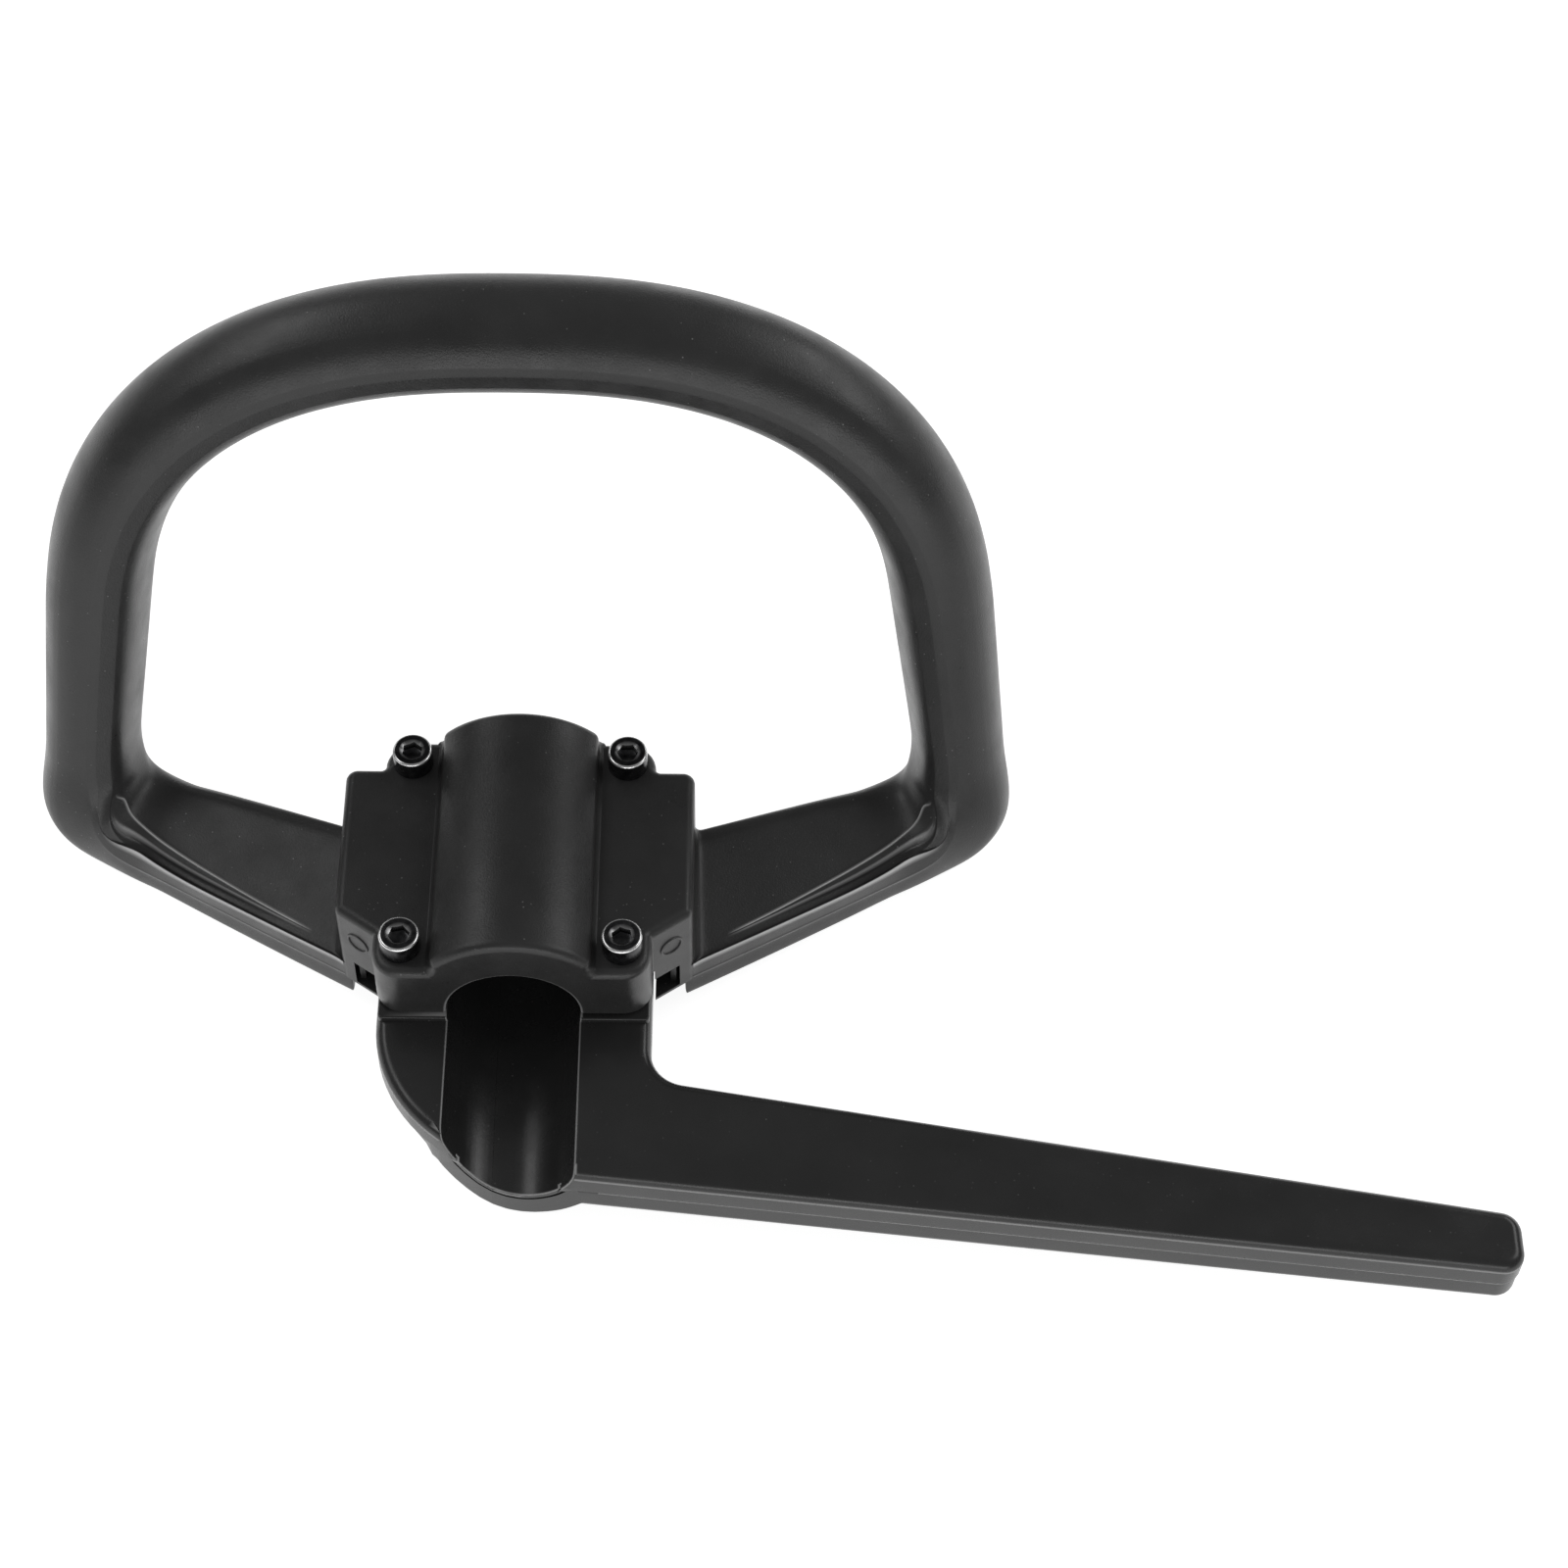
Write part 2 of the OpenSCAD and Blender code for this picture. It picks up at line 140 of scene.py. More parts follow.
def section(i):
    place, at = line[i]
    before, after = line[max(i - 1, 0)][0], line[min(i + 1, len(line) - 1)][0]
    along = (after - before).normalized() if i < len(line) - 1 else Vector((-1, 0, 0))
    in_arm, in_elbow = min(at, 1), min(max(at - 1, 0), 1)
    turned = smooth((at - 1) + 0.25) if at > 0.75 else 0
    swelled = smooth((at - 1) / 1.5)
    grown = smooth((at - 1) / 3)
    pitch = mix(arm_pitch, lean - math.pi / 2, turned)
    e = Vector((0, math.cos(pitch), math.sin(pitch)))
    across = (e - e.dot(along) * along).normalized()
    f0, f1 = mix(e, across, in_arm), mix(Vector((0, -math.sin(pitch), math.cos(pitch))),
                                         along.cross(across), in_arm)
    half_w = mix(mix(arm_w, arm_w_end, in_arm), grip_d, swelled) / 2
    half_t = mix(arm_t, mix(side_t, grip_t, grown), turned) / 2
    sunk = lip_h * (1 - smooth((in_arm - 0.2) / 0.8))
    flat = [(u, v, sunk if v > 0.7 else 0, 0) for u, v in blade]
    gap = max(place.x - wing_x, 0) if at < 1 else root_fillet
    flare = root_fillet - math.sqrt(root_fillet ** 2 - max(root_fillet - gap, 0) ** 2)
    ring = []
    for u, v, drop, bright in flat + front(at, in_arm, in_elbow, half_w):
        angle = math.atan2(v * (1 - 0.45 * smooth((-u - 0.55) / 0.25)) if v > 0 else v, u)
        fill = elbow_fill * math.sin(math.pi * in_elbow) ** 3 if v < 0 else 0
        a = mix(half_w * u, half_w * math.cos(angle), turned)
        b = mix((half_t + fill) * v, (half_t + fill) * math.sin(angle), turned)
        b -= drop
        w = flare * smooth((u + 0.9) / 0.3)
        point = place + (a + w * u) * f0 + (b + w * v) * f1
        ring.append((mm * point, bright))
    return ring


def deselect():
    if bpy.context.mode != "OBJECT":
        bpy.ops.object.mode_set(mode="OBJECT")
    bpy.ops.object.select_all(action="DESELECT")


def pick(piece):
    deselect()
    piece.select_set(True)
    bpy.context.view_layer.objects.active = piece


def skin(name, rings):
    """Extrudes a filled ring from section to section."""
    deselect()
    bpy.ops.mesh.primitive_circle_add(vertices=len(rings[0]), radius=1, fill_type="NGON")
    piece = bpy.context.object
    piece.name = name
    for vertex, place in zip(piece.data.vertices, rings[0]):
        vertex.co = place
    bpy.ops.object.mode_set(mode="EDIT")
    bpy.ops.mesh.select_all(action="SELECT")
    for last, ring in zip(rings, rings[1:]):
        bpy.ops.mesh.extrude_region_move()
        body = bmesh.from_edit_mesh(piece.data)
        free = list(range(len(ring)))
        for vertex in [v for v in body.verts if v.select]:
            nearest = min(free, key=lambda j: (vertex.co - last[j]).length_squared)
            free.remove(nearest)
            vertex.co = ring[nearest]
        bmesh.update_edit_mesh(piece.data)
    bpy.ops.mesh.select_all(action="SELECT")
    bpy.ops.mesh.normals_make_consistent(inside=False)
    bpy.ops.object.mode_set(mode="OBJECT")
    return piece


def apply(piece, kind, **settings):
    pick(piece)
    modifier = piece.modifiers.new(kind, kind)
    for key, value in settings.items():
        setattr(modifier, key, value)
    bpy.ops.object.modifier_apply(modifier=modifier.name)


def cut(piece, tool, operation="DIFFERENCE"):
    apply(piece, "BOOLEAN", object=tool, operation=operation, solver="EXACT")
    bpy.data.objects.remove(tool)


def wear_and_highlight(piece, places):
    """Notes on a piece how far some of its points are worn and painted bright as a highlight, from 0 to 1."""
    layer = piece.data.attributes.get("rubbed") or piece.data.attributes.new("rubbed", "FLOAT", "POINT")
    known = {tuple(round(c, 6) for c in p): amount for p, amount in places}
    for vertex, mark in zip(piece.data.vertices, layer.data):
        mark.value = max(mark.value, known.get(tuple(round(c, 6) for c in vertex.co), 0))


half = [section(i) for i in range(len(line))]
flip = Matrix.Diagonal((-1, 1, 1))
rings = half + [[(flip @ p, bright) for p, bright in ring] for ring in reversed(half[:-1])]
handle = skin("loop_handle_moulding", [[p for p, bright in ring] for ring in rings])
# Wear and painted highlight: thin bright lines along each arm's lip, land and crease
wear_and_highlight(handle, [point for ring in rings for point in ring])
apply(handle, "SUBSURF", levels=2, render_levels=2)

# Saddle: clamp block of the same moulding, with the hump over the tube and a wing on each side,
# cored out from the front and stiffened by a rib.
nose_y, screw_x, screw_y = saddle_len / 2, 23, 23.25
block_x, deck_back, wing_front, wing_back, flank_run = 29, 29.25, 14, 22.05, 5.8
skirt_z, skirt_wall, wing_roof, rib_t, rib_slit, edge_r = 12, 2.8, -3.2, 1.2, 0.8, 2
hump_x, crown_z, crown_r, hump_foot = 16.6, 25.5, 22, 1.8


def corner(before, at, after, radius, steps=8):
    """Arc that rounds one corner of an outline."""
    at = Vector(at)
    u, w = (Vector(before) - at).normalized(), (Vector(after) - at).normalized()
    half_angle = u.angle(w) / 2
    middle = at + (u + w).normalized() * radius / math.sin(half_angle)
    start = at + u * radius / math.tan(half_angle) - middle
    end = at + w * radius / math.tan(half_angle) - middle
    return [middle + radius * start.lerp(end, i / steps).normalized() for i in range(steps + 1)]


def rounded(corners, steps=8):
    flat = [c[:2] for c in corners]
    return [p for i, c in enumerate(corners)
            for p in corner(flat[i - 1], c[:2], flat[(i + 1) % len(flat)], c[2], steps)]


def inset(outline, depth):
    """Counter-clockwise outline moved inwards."""
    moved = []
    for i, p in enumerate(outline):
        u, w = (p - outline[i - 1]).normalized(), (outline[(i + 1) % len(outline)] - p).normalized()
        m = (u + w).normalized()
        moved.append(p + Vector((-m.y, m.x)) * depth / m.dot(w))
    return moved


def lift(outline, z):
    return [mm * Vector((p.x, p.y, z)) for p in outline]


def roundover(outline, z, radius, up=1, steps=6):
    """Rings that round the edge between a side and the face at z."""
    turns = [math.pi / 2 * i / steps for i in range(steps + 1)]
    rings = [lift(inset(outline, radius * (1 - math.cos(a))), z - up * radius * (1 - math.sin(a)))
             for a in turns]
    return rings if up > 0 else rings[::-1]


def block(name, low, high):
    """Plain cutter with square edges, from its lowest to its highest corner in mm."""
    deselect()
    bpy.ops.mesh.primitive_cube_add(size=1, location=[(a + b) * mm / 2 for a, b in zip(low, high)],
                                    scale=[(b - a) * mm for a, b in zip(low, high)])
    piece = bpy.context.object
    piece.name = name
    bpy.ops.object.transform_apply()
    return piece


def bore(name, profile, axis="Z", place=(0, 0), vertices=48):
    """Round cutter from a profile of radius and height in mm."""
    deselect()
    ring = [Vector((math.cos(2 * math.pi * i / vertices), math.sin(2 * math.pi * i / vertices)))
            for i in range(vertices)]
    piece = skin(name, [[mm * Vector((r * p.x + place[0], r * p.y + place[1], h)) for p in ring]
                        for r, h in profile])
    if axis == "Y":
        pick(piece)
        bpy.ops.object.mode_set(mode="EDIT")
        bpy.ops.mesh.select_all(action="SELECT")
        bpy.ops.object.mode_set(mode="OBJECT")
        piece.data.transform(Matrix.Rotation(math.pi / 2, 4, "X"))
    return piece


wing_half = [(block_x, -nose_y, 6), (block_x, -wing_front - flank_run, 0.6),
             (wing_x, -wing_front, 2.1), (wing_x, wing_back, 2.5),
             (block_x, wing_back, 1.1), (block_x, deck_back, 6)]
plan = rounded(wing_half + [(-x, y, r) for x, y, r in reversed(wing_half)])
saddle = skin("saddle", [lift(inset(plan, 0.4), -skirt_z), lift(plan, -skirt_z + 0.4)]
              + roundover(plan, deck_z, edge_r))

turn = math.asin(hump_x / crown_r)
crown = [Vector((crown_r * math.sin(a), crown_z - crown_r + crown_r * math.cos(a)))
         for a in [turn * (1 - i / 20) for i in range(41)]]
foot = Vector((hump_x, deck_z - 4))
flared = [Vector((hump_x + hump_foot * (1 - math.cos(a)), deck_z + hump_foot * (1 - math.sin(a)) - 0.15))
          for a in [math.radians(d) for d in (80, 60, 40, 20, 0)]]
left = [Vector((-p.x, p.y)) for p in reversed(flared)]
profile = ([Vector((flared[0].x, deck_z - 4))] + flared
           + corner(flared[-1], crown[0], crown[1], edge_r) + crown[1:-1]
           + corner(crown[-2], crown[-1], left[0], edge_r) + left + [Vector((-flared[0].x, deck_z - 4))])
hump = skin("hump", roundover(profile, -nose_y, edge_r, up=-1) + roundover(profile, nose_y, edge_r))
hump.data.transform(Matrix.Rotation(math.pi / 2, 4, "X"))
cut(saddle, hump, "UNION")
cut(saddle, block("seat_room", (-29.4, -31, -60), (29.4, 31, 0)))
for s in (-1, 1):
    walls = sorted((s * block_x, s * (wing_x - skirt_wall)))
    rib = sorted((s * (wing_x - skirt_wall - rib_slit - rib_t), s * (wing_x - skirt_wall - rib_slit)))
    slit = sorted((s * (wing_x - skirt_wall - rib_slit), s * (wing_x - skirt_wall)))
    well = sorted((s * block_x, s * (wing_x - skirt_wall - rib_slit - rib_t)))
    end = wing_back - skirt_wall
    cut(saddle, block("pocket_mouth", (walls[0], -31, rib_t - skirt_z), (walls[1], -15, wing_roof)))
    cut(saddle, block("pocket", (well[0], -16, rib_t - skirt_z), (well[1], end, wing_roof)))
    cut(saddle, block("pocket_slit", (slit[0], -16, rib_t - skirt_z), (slit[1], end, wing_roof)))
    # A plain ring on each flank, where the mould carries its mark
    deselect()
    bpy.ops.mesh.primitive_torus_add(major_segments=40, minor_segments=8, major_radius=2.5 * mm,
                                     minor_radius=0.3 * mm)
    ring = bpy.context.object
    outward = Vector((s * flank_run, block_x - wing_x, 0))
    ring.data.transform(Matrix.Translation(mm * Vector((s * 32.9, -17.1, 6.3)))
                        @ outward.to_track_quat("Z", "Y").to_matrix().to_4x4())
    cut(saddle, ring, "UNION")
cut(handle, saddle, "UNION")
lead = [(tube_r + 0.8, -40), (tube_r + 0.8, -nose_y - 0.02), (tube_r + 0.25, -nose_y + 0.25),
        (tube_r, -nose_y + 0.8)]
cut(handle, bore("tube_room", lead + [(r, -h) for r, h in reversed(lead)], "Y", vertices=96))
for sx in (-1, 1):
    for sy in (-1, 1):
        cut(handle, bore("screw_hole", [(2.75, -20), (2.75, 14.7), (3.05, 15.01), (3.05, 20)],
                         place=(sx * screw_x, sy * screw_y)))
# The saddle keeps no wear or painted highlight marks: they are cleared for every point inside the wings
for vertex, mark in zip(handle.data.vertices, handle.data.attributes["rubbed"].data):
    if abs(vertex.co.x) / mm < wing_x + 0.05:
        mark.value = 0
# Painted highlight: a bright line round the edge of the tube's arch at the front of the nose
wear_and_highlight(handle, [(v.co, 0.45) for v in handle.data.vertices
             if abs(math.hypot(v.co.x, v.co.z) / mm - tube_r - 0.25) < 0.02
             and abs(v.co.y / mm + nose_y - 0.25) < 0.02])

# The moulding is satin black, finely grained, with stray light specks, a few dull scuffs, and edge lines that are worn
# and painted bright as highlights.
def black_plastic(name, colour, roughness, grain, grain_depth, dust):
    made = bpy.data.materials.new(name)
    made.use_nodes = True
    nodes, links = made.node_tree.nodes, made.node_tree.links
    shader = nodes["Principled BSDF"]
    shader.inputs["IOR"].default_value = 1.5
    shader.inputs["Specular IOR Level"].default_value = 0.45
    place = nodes.new("ShaderNodeTexCoord")

    def noise(scale, detail, rough=0.55):
        made_noise = nodes.new("ShaderNodeTexNoise")
        made_noise.inputs["Scale"].default_value = scale
        made_noise.inputs["Detail"].default_value = detail
        made_noise.inputs["Roughness"].default_value = rough
        links.new(place.outputs["Object"], made_noise.inputs["Vector"])
        return made_noise.outputs["Fac"]

    def ramp(source, stops):
        band = nodes.new("ShaderNodeValToRGB")
        band.color_ramp.elements[0].position, band.color_ramp.elements[1].position = stops[0][0], stops[-1][0]
        band.color_ramp.elements[0].color = (*[stops[0][1]] * 3, 1)
        band.color_ramp.elements[1].color = (*[stops[-1][1]] * 3, 1)
        for at, value in stops[1:-1]:
            band.color_ramp.elements.new(at).color = (*[value] * 3, 1)
        links.new(source, band.inputs["Fac"])
        return band.outputs["Color"]

    # Colour: cloudy flow of the filler, and specks of dust where the cloud is thick
    cloud = ramp(noise(45, 5), [(0.3, colour * 0.85), (0.7, colour * 1.18)])
    grit = nodes.new("ShaderNodeTexVoronoi")
    grit.inputs["Scale"].default_value = 650
    links.new(place.outputs["Object"], grit.inputs["Vector"])
    dots = ramp(grit.outputs["Distance"], [(0.07, 1), (0.13, 0)])
    chosen = ramp(grit.outputs["Color"], [(0.55, 0), (0.65, dust)])
    where = ramp(noise(70, 3), [(0.45, 0.15), (0.62, 1)])
    both = nodes.new("ShaderNodeVectorMath")
    both.operation = "MULTIPLY"
    links.new(dots, both.inputs[0])
    links.new(chosen, both.inputs[1])
    thick = nodes.new("ShaderNodeVectorMath")
    thick.operation = "MULTIPLY"
    links.new(both.outputs[0], thick.inputs[0])
    links.new(where, thick.inputs[1])
    tint = nodes.new("ShaderNodeMix")
    tint.data_type = "RGBA"
    tint.inputs[7].default_value = (0.22, 0.22, 0.22, 1)
    links.new(thick.outputs[0], tint.inputs["Factor"])
    links.new(cloud, tint.inputs[6])
    # Wear and painted highlight: the marked edge lines are mixed towards near white
    rubbed = nodes.new("ShaderNodeAttribute")
    rubbed.attribute_name = "rubbed"
    bright = nodes.new("ShaderNodeMix")
    bright.data_type = "RGBA"
    bright.inputs[7].default_value = (0.9, 0.9, 0.9, 1)
    links.new(rubbed.outputs["Fac"], bright.inputs["Factor"])
    links.new(tint.outputs[2], bright.inputs[6])
    links.new(bright.outputs[2], shader.inputs["Base Color"])
    # Gloss: uneven, as off a worn mould
    uneven = ramp(noise(130, 6), [(0.3, roughness - 0.06), (0.7, roughness + 0.08)])
    links.new(uneven, shader.inputs["Roughness"])
    bump = nodes.new("ShaderNodeBump")
    bump.inputs["Distance"].default_value = grain_depth
    links.new(noise(grain, 3), bump.inputs["Height"])
    links.new(bump.outputs["Normal"], shader.inputs["Normal"])
    return made


def finish(piece, look, slot, *nodes, angle=35):
    """Smooths a piece, gives it its material and puts it in the place of its CAD nodes."""
    pick(piece)
    bpy.ops.object.shade_smooth_by_angle(angle=math.radians(angle))
    apply(piece, "WEIGHTED_NORMAL", keep_sharp=True, weight=60)
    piece.data.materials.clear()
    piece.data.materials.append(look)
    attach(piece, "root")
    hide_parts(*nodes)


finish(handle, black_plastic("satin_black_nylon", 0.035, 0.33, 2600, 0.00006, 1),
       "handle_plastic", "loop_handle")

# Barrier bar: one black moulding that holds the tube from below. Its seat and lobe carry the
# channel, and the bar tapers out to one side; the mould halves meet in a fine step round its edge.
bar_t, seat_h, clamp_gap, channel_wall = 14.6, 1.2, 0.8, 7
lobe_y, lobe_front, bar_reach, fall = -31, -67.2, 207, math.tan(math.radians(6))
bar_w_root, bar_w_tip, bar_fillet, bar_edge, tip_r, back_corner = 24.4, 13.4, 8, 2.5, 4.5, 3.6
bar_z = -clamp_gap - seat_h
bar_bottom = bar_z - bar_t
split_z, split_step = bar_z - 0.5 * bar_t, 0.3


def bar_front_y(x):
    return lobe_front - (x - tube_r) * fall


def bar_plan(power):
    root_x = block_x + bar_fillet
    rear = Vector((root_x, bar_front_y(root_x) + bar_w_root))
    tip = Vector((bar_reach, bar_front_y(bar_reach)))
    tip_back = tip + Vector((0, bar_w_tip))
    inner = tip_back.lerp(rear, (bar_reach - block_x) / (bar_reach - root_x))
    back_r, back_l = Vector((block_x, deck_back)), Vector((-block_x, deck_back))
    front = Vector((tube_r, lobe_front))
    lobe = [Vector((tube_r - (tube_r + block_x) * math.cos(a) ** (2 / power),
                    lobe_y - (lobe_y - lobe_front) * math.sin(a) ** (2 / power)))
            for a in [math.radians(d) for d in range(0, 88, 4)]]
    return ([front] + corner(front, tip, tip_back, tip_r) + corner(tip, tip_back, inner, tip_r)
            + corner(tip_back, inner, back_r, bar_fillet, 12) + corner(inner, back_r, back_l, back_corner)
            + corner(back_r, back_l, lobe[0], back_corner) + lobe)


upper, lower = bar_plan(2), inset(bar_plan(1.8), split_step)
# Below the split the lobe swells out round the end of the channel
first_lobe = len(lower) - 22
for i, d in enumerate(range(0, 88, 4)):
    swell = 1.5 * smooth((d - 38) / 8) * (1 - smooth((d - 60) / 24))
    lower[first_lobe + i] += swell * Vector((-math.cos(math.radians(d)), -math.sin(math.radians(d))))
bar = skin("barrier_bar_moulding", roundover(lower, bar_bottom, bar_edge, up=-1)
           + roundover(lower, split_z - 0.4, 0.3, steps=3)
           + [lift(inset(lower, 0.9), split_z - 0.35), lift(inset(lower, 0.9), split_z + 0.35),
              lift(inset(upper, 0.3), split_z + 0.4), lift(inset(upper, 0.06), split_z + 0.48),
              lift(upper, split_z + 0.75), lift(upper, bar_z - bar_edge - 0.3)]
           + roundover(upper, bar_z, bar_edge))
pad = block_x - 0.5
pad_plan = rounded([(pad, lobe_y, 1), (pad, deck_back - 0.5, 6), (-pad, deck_back - 0.5, 6),
                    (-pad, lobe_y, 1)])
cut(bar, skin("seat", [lift(pad_plan, split_z)] + roundover(pad_plan, -clamp_gap, 0.35, steps=3)), "UNION")
wall = bore("channel_wall", [(tube_r + channel_wall, -60), (tube_r + channel_wall, 100)], "Y", vertices=96)
cut(wall, block("above", (-60, -110, split_z), (60, 80, 60)))
keep = skin("below", [lift(lower, -60), lift(lower, split_z)])
cut(wall, keep, "INTERSECT")
cut(bar, wall, "UNION")
cut(bar, bore("channel", [(tube_r, -60), (tube_r, 100)], "Y", vertices=96))
# A fine groove follows the end of the channel round the lobe
rim = bore("rim_groove", [(tube_r + 1.7, -60), (tube_r + 1.7, 100)], "Y", vertices=96)
cut(rim, bore("inside", [(tube_r + 1.1, -70), (tube_r + 1.1, 110)], "Y", vertices=96))
cut(rim, skin("core", [lift(inset(lower, 0.9), -60), lift(inset(lower, 0.9), 60)]))
cut(rim, block("above", (-60, -110, split_z - 0.9), (60, 80, 60)))
cut(rim, block("behind", (-60, lobe_y, -60), (60, 120, 60)))
cut(bar, rim)
nut_w, nut_t, nut_play, nut_top = 8, 4, 0.15, -9.5
for sx in (-1, 1):
    for sy in (-1, 1):
        x, y = sx * screw_x, sy * screw_y
        cut(bar, bore("screw_hole", [(2.75, -40), (2.75, 20)], place=(x, y)))
        side = nut_w / 2 + nut_play
        cut(bar, block("nut_pocket", (x - side, y - side, bar_bottom - 1), (x + side, y + side, nut_top)))


def soften(piece, chosen, width):
    """Rounds the sharp edges that are picked by place."""
    pick(piece)
    bpy.ops.object.mode_set(mode="EDIT")
    bpy.ops.mesh.select_mode(type="EDGE")
    bpy.ops.mesh.select_all(action="DESELECT")
    body = bmesh.from_edit_mesh(piece.data)
    for edge in body.edges:
        sharp = edge.is_manifold and edge.calc_face_angle() > math.radians(35)
        edge.select = sharp and all(chosen(v.co / mm) for v in edge.verts)
    bmesh.update_edit_mesh(piece.data)
    bpy.ops.mesh.bevel(offset=width * mm, segments=2, affect="EDGES", clamp_overlap=False)
    bpy.ops.object.mode_set(mode="OBJECT")


# An edge loop right beside the channel, at which the worn and painted highlight lines on the rims end
pick(bar)
bpy.ops.object.mode_set(mode="EDIT")
bpy.ops.mesh.select_all(action="SELECT")
bpy.ops.mesh.bisect(plane_co=(14.6 * mm, 0, 0), plane_no=(1, 0, 0))
bpy.ops.object.mode_set(mode="OBJECT")
soften(bar, lambda p: abs(math.hypot(p.x, p.z) - tube_r) < 0.03 and p.y < 25 and (p.z > -2.2 or p.y < -35), 0.4)
# Wear and painted highlight: bright lines on the channel rims, along the parting step and at the rounded top edge
for vertex, mark in zip(bar.data.vertices, bar.data.attributes.new("rubbed", "FLOAT", "POINT").data):
    from_axis = math.hypot(vertex.co.x, vertex.co.z) / mm
    y, z = vertex.co.y / mm, vertex.co.z / mm
    if from_axis < tube_r + 0.5:
        mark.value = 0.5 if 0.03 < from_axis - tube_r < 0.33 and (z > -2.7 or y < -35) else 0
    elif 0.42 < split_z - z < 0.6 or abs(z - bar_z + bar_edge) < 0.02:
        mark.value = 0.5
finish(bar, black_plastic("gloss_black_nylon", 0.03, 0.24, 3400, 0.000012, 0.5), "bar_plastic", "barrier_bar")

# Clamp screws: four M5 x 30 socket-head cap screws, black oxide, rolled thread, with the polished
# rim and hexagon that a tool leaves. They stand proud on the deck.
screw_d, screw_len, head_d, head_h, socket_w = 5, 30, 8.5, 5, 4
threaded = [(screw_d / 2 - 0.55, deck_z - screw_len), (screw_d / 2 - 0.1, deck_z - screw_len + 0.4)]
pitch = 0.8
z = deck_z - screw_len + 0.6
while z < deck_z - 9:
    threaded += [(screw_d / 2 - 0.02, z), (screw_d / 2 - 0.02, z + 0.12),
                 (screw_d / 2 - 0.42, z + 0.38), (screw_d / 2 - 0.42, z + 0.46)]
    z += pitch
screw_profile = threaded + [(screw_d / 2, deck_z - 8), (screw_d / 2, deck_z), (head_d / 2 - 0.2, deck_z),
                            (head_d / 2, deck_z + 0.2), (head_d / 2, deck_z + head_h - 0.6),
                            (head_d / 2 - 0.05, deck_z + head_h - 0.36),
                            (head_d / 2 - 0.17, deck_z + head_h - 0.17),
                            (head_d / 2 - 0.36, deck_z + head_h - 0.05), (head_d / 2 - 0.6, deck_z + head_h)]


def hexagon(radius, z, x=0, y=0):
    return [mm * Vector((x + radius * math.cos(math.radians(60 * i)), y + radius * math.sin(math.radians(60 * i)), z))
            for i in range(6)]


screw = bore("clamp_screw", screw_profile)
top_z, wide = deck_z + head_h, socket_w / 2 / math.cos(math.radians(30))
cut(screw, skin("hexagon", [hexagon(wide - 0.9, top_z - 2.6), hexagon(wide, top_z - 2.2), 
                            hexagon(wide, top_z + 1)]))
cut(screw, bore("mouth", [(1.9, top_z - 0.62), (wide + 0.5, top_z + 0.01), (wide + 0.5, top_z + 1)]))
worn = screw.data.attributes.new("worn", "FLOAT", "POINT")
for vertex, mark in zip(screw.data.vertices, worn.data):
    out = math.hypot(vertex.co.x, vertex.co.y) / mm
    down = top_z - vertex.co.z / mm
    mark.value = 1 if 0.03 < down < 0.45 and out > head_d / 2 - 0.5 else 0.4 if 0.1 < down < 0.7 and out < 3 else 0
oxide = bpy.data.materials.new("black_oxide_steel")
oxide.use_nodes = True
nodes, links = oxide.node_tree.nodes, oxide.node_tree.links
shader = nodes["Principled BSDF"]
shader.inputs["Metallic"].default_value = 0.85
place = nodes.new("ShaderNodeTexCoord")
smear = nodes.new("ShaderNodeTexNoise")
smear.inputs["Scale"].default_value = 700
smear.inputs["Detail"].default_value = 5
links.new(place.outputs["Object"], smear.inputs["Vector"])
shade = nodes.new("ShaderNodeValToRGB")
shade.color_ramp.elements[0].position, shade.color_ramp.elements[1].position = 0.35, 0.72
shade.color_ramp.elements[0].color, shade.color_ramp.elements[1].color = (0.02, 0.02, 0.022, 1), (0.06, 0.06, 0.062, 1)
links.new(smear.outputs["Fac"], shade.inputs["Fac"])
wear_and_highlight = nodes.new("ShaderNodeAttribute")
wear_and_highlight.attribute_name = "worn"
bare = nodes.new("ShaderNodeMix")
bare.data_type = "RGBA"
bare.inputs[7].default_value = (0.85, 0.85, 0.85, 1)
links.new(wear_and_highlight.outputs["Fac"], bare.inputs["Factor"])
links.new(shade.outputs["Color"], bare.inputs[6])
links.new(bare.outputs[2], shader.inputs["Base Color"])
oil = nodes.new("ShaderNodeMapRange")
oil.inputs["To Min"].default_value, oil.inputs["To Max"].default_value = 0.16, 0.34
links.new(smear.outputs["Fac"], oil.inputs["Value"])
links.new(oil.outputs["Result"], shader.inputs["Roughness"])
pits = nodes.new("ShaderNodeBump")
pits.inputs["Distance"].default_value = 0.00002
pits.inputs["Strength"].default_value = 0.6
links.new(smear.outputs["Fac"], pits.inputs["Height"])
links.new(pits.outputs["Normal"], shader.inputs["Normal"])


def copies(first, sizes, look, slot):
    """Sets one copy at each screw, turned a little as screws and nuts stop where they stop."""
    made = {}
    for (end, sy), (side, sx) in [(a, b) for a in (("front", -1), ("back", 1)) for b in (("left", -1), ("right", 1))]:
        name = f"{end}_{side}"
        piece = first.copy()
        piece.data = first.data.copy()
        bpy.context.scene.collection.objects.link(piece)
        piece.name = f"{first.name}_{name}"
        piece.data.transform(Matrix.Translation((mm * sx * screw_x, mm * sy * screw_y, 0))
                             @ Matrix.Rotation(math.radians(sizes[name]), 4, "Z"))
        made[name] = piece
    bpy.data.objects.remove(first)
    for name, piece in made.items():
        finish(piece, look, slot, f"{'screw' if 'screw' in piece.name else 'nut'}_{name}", angle=30)


copies(screw, {"front_left": 12, "front_right": 40, "back_left": 24, "back_right": 2}, oxide, "black_oxide_steel")

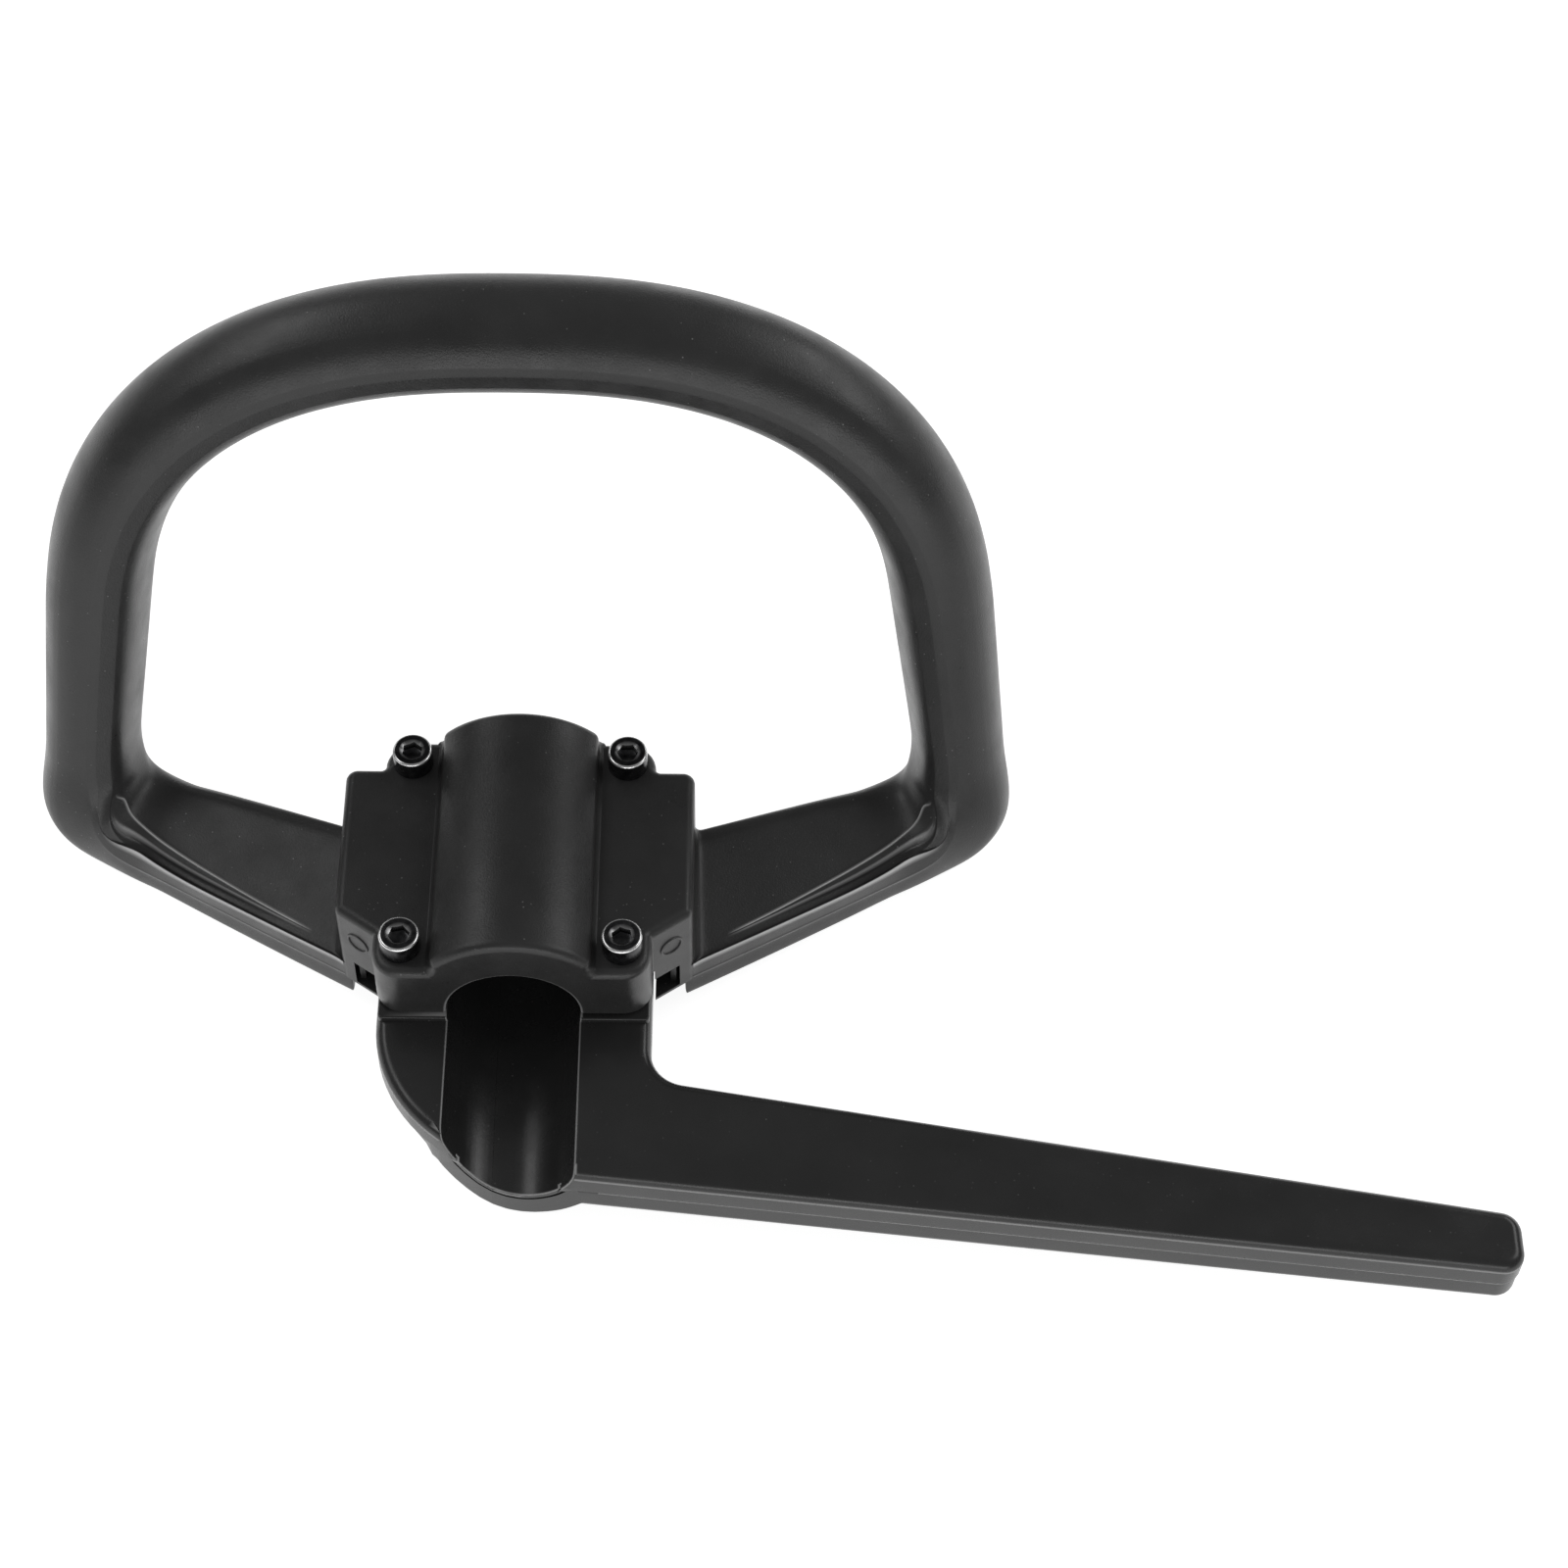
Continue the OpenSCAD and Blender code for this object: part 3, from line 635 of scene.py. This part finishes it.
# Nuts: four M5 square nuts, pressed from zinc plated strip, chamfered on their lower side, each held
# against turning in its pocket under the barrier bar.
nut_low = nut_top - nut_t
nut = block("square_nut", (-nut_w / 2, -nut_w / 2, nut_low), (nut_w / 2, nut_w / 2, nut_top))
apply(nut, "BEVEL", width=0.25 * mm, segments=2)
chamfer = bore("chamfer", [(nut_w * 0.5 - 0.1, nut_low - 0.01), (nut_w * 0.5 + 1.8, nut_low + 1.0),
                           (nut_w, nut_low + 1.2), (nut_w, nut_top + 0.1)])
cut(nut, chamfer, "INTERSECT")
cut(nut, bore("thread", [(screw_d / 2 + 0.45, nut_low - 1), (screw_d / 2 + 0.45, nut_low - 0.01),
                         (screw_d / 2 + 0.05, nut_low + 0.4), (screw_d / 2 + 0.05, nut_top - 0.3),
                         (screw_d / 2 + 0.35, nut_top + 0.01), (screw_d / 2 + 0.35, nut_top + 1)]))
zinc = bpy.data.materials.new("zinc_plate")
zinc.use_nodes = True
nodes, links = zinc.node_tree.nodes, zinc.node_tree.links
shader = nodes["Principled BSDF"]
shader.inputs["Metallic"].default_value = 1
place = nodes.new("ShaderNodeTexCoord")
bloom = nodes.new("ShaderNodeTexNoise")
bloom.inputs["Scale"].default_value = 500
bloom.inputs["Detail"].default_value = 6
links.new(place.outputs["Object"], bloom.inputs["Vector"])
shade = nodes.new("ShaderNodeValToRGB")
shade.color_ramp.elements[0].color, shade.color_ramp.elements[1].color = (0.42, 0.43, 0.45, 1), (0.68, 0.69, 0.7, 1)
links.new(bloom.outputs["Fac"], shade.inputs["Fac"])
links.new(shade.outputs["Color"], shader.inputs["Base Color"])
dull = nodes.new("ShaderNodeMapRange")
dull.inputs["To Min"].default_value, dull.inputs["To Max"].default_value = 0.28, 0.5
links.new(bloom.outputs["Fac"], dull.inputs["Value"])
links.new(dull.outputs["Result"], shader.inputs["Roughness"])
copies(nut, {"front_left": 0, "front_right": 0, "back_left": 0, "back_right": 0}, zinc, "zinc_steel")

# Studio: the handle lies on a white sheet under a large dim tent, with one broad soft box low in front.
lowest = cad_box[0][2]
deselect()
bpy.ops.mesh.primitive_circle_add(vertices=64, radius=40, fill_type="NGON", location=(0.05, 0.3, lowest - 0.0003))
floor = bpy.context.object
floor.name = "floor"
bpy.ops.object.transform_apply()
paper = bpy.data.materials.new("white_paper")
paper.use_nodes = True
nodes, links = paper.node_tree.nodes, paper.node_tree.links
shader = nodes["Principled BSDF"]
shader.inputs["Base Color"].default_value = (0.6, 0.6, 0.6, 1)
shader.inputs["Roughness"].default_value = 0.95
shader.inputs["Emission Color"].default_value = (1, 1, 1, 1)
path = nodes.new("ShaderNodeLightPath")
seen = nodes.new("ShaderNodeMath")
seen.operation = "MAXIMUM"
links.new(path.outputs["Is Camera Ray"], seen.inputs[0])
links.new(path.outputs["Is Glossy Ray"], seen.inputs[1])
through = nodes.new("ShaderNodeMath")
through.operation = "MAXIMUM"
links.new(seen.outputs[0], through.inputs[0])
links.new(path.outputs["Is Transmission Ray"], through.inputs[1])
glow = nodes.new("ShaderNodeMath")
glow.operation = "MULTIPLY"
glow.inputs[1].default_value = 0.9
links.new(through.outputs[0], glow.inputs[0])
links.new(glow.outputs[0], shader.inputs["Emission Strength"])
floor.data.materials.append(paper)

world = bpy.data.worlds.new("tent")
bpy.context.scene.world = world
world.use_nodes = True
nodes, links = world.node_tree.nodes, world.node_tree.links
background = nodes["Background"]
background.inputs["Color"].default_value = (1, 1, 1, 1)
background.inputs["Strength"].default_value = 0.2


def soft_box(name, place, aim, width, height, power):
    data = bpy.data.lights.new(name, "AREA")
    data.shape = "RECTANGLE"
    data.size, data.size_y = width, height
    data.energy = power
    made = bpy.data.objects.new(name, data)
    bpy.context.scene.collection.objects.link(made)
    made.location = place
    made.visible_camera = False
    made.rotation_euler = (Vector(aim) - Vector(place)).to_track_quat("-Z", "Y").to_euler()


soft_box("front_box", (0.05, -1.2, 0.26), (0.05, 0, 0), 1.4, 0.3, 4)
soft_box("left_strip", (-0.57, 0.45, 0.69), (0, 0.45, 0), 1.1, 0.3, 2)
soft_box("right_strip", (0.7, 0.45, 0.55), (0, 0.45, 0), 1.1, 0.3, 2.3)

# Camera at the photograph's viewing angle
elevation, yaw, roll = math.radians(55), 0.0203, 0.0255
forward = Vector((math.sin(yaw) * math.cos(elevation), math.cos(yaw) * math.cos(elevation),
                  -math.sin(elevation)))
level = Vector((math.cos(yaw), -math.sin(yaw), 0))
upright = level.cross(forward)
right = math.cos(roll) * level + math.sin(roll) * upright
up = math.cos(roll) * upright - math.sin(roll) * level
camera = bpy.data.objects.new("camera", bpy.data.cameras.new("camera"))
bpy.context.scene.collection.objects.link(camera)
camera.data.lens = 81
camera.data.sensor_width = 36
camera.matrix_world = Matrix.Translation((0.047695, -0.414785, 0.63411)) @ Matrix(
    (right, up, -forward)).transposed().to_4x4()
bpy.context.scene.camera = camera
bpy.context.scene.view_settings.view_transform = "Standard"
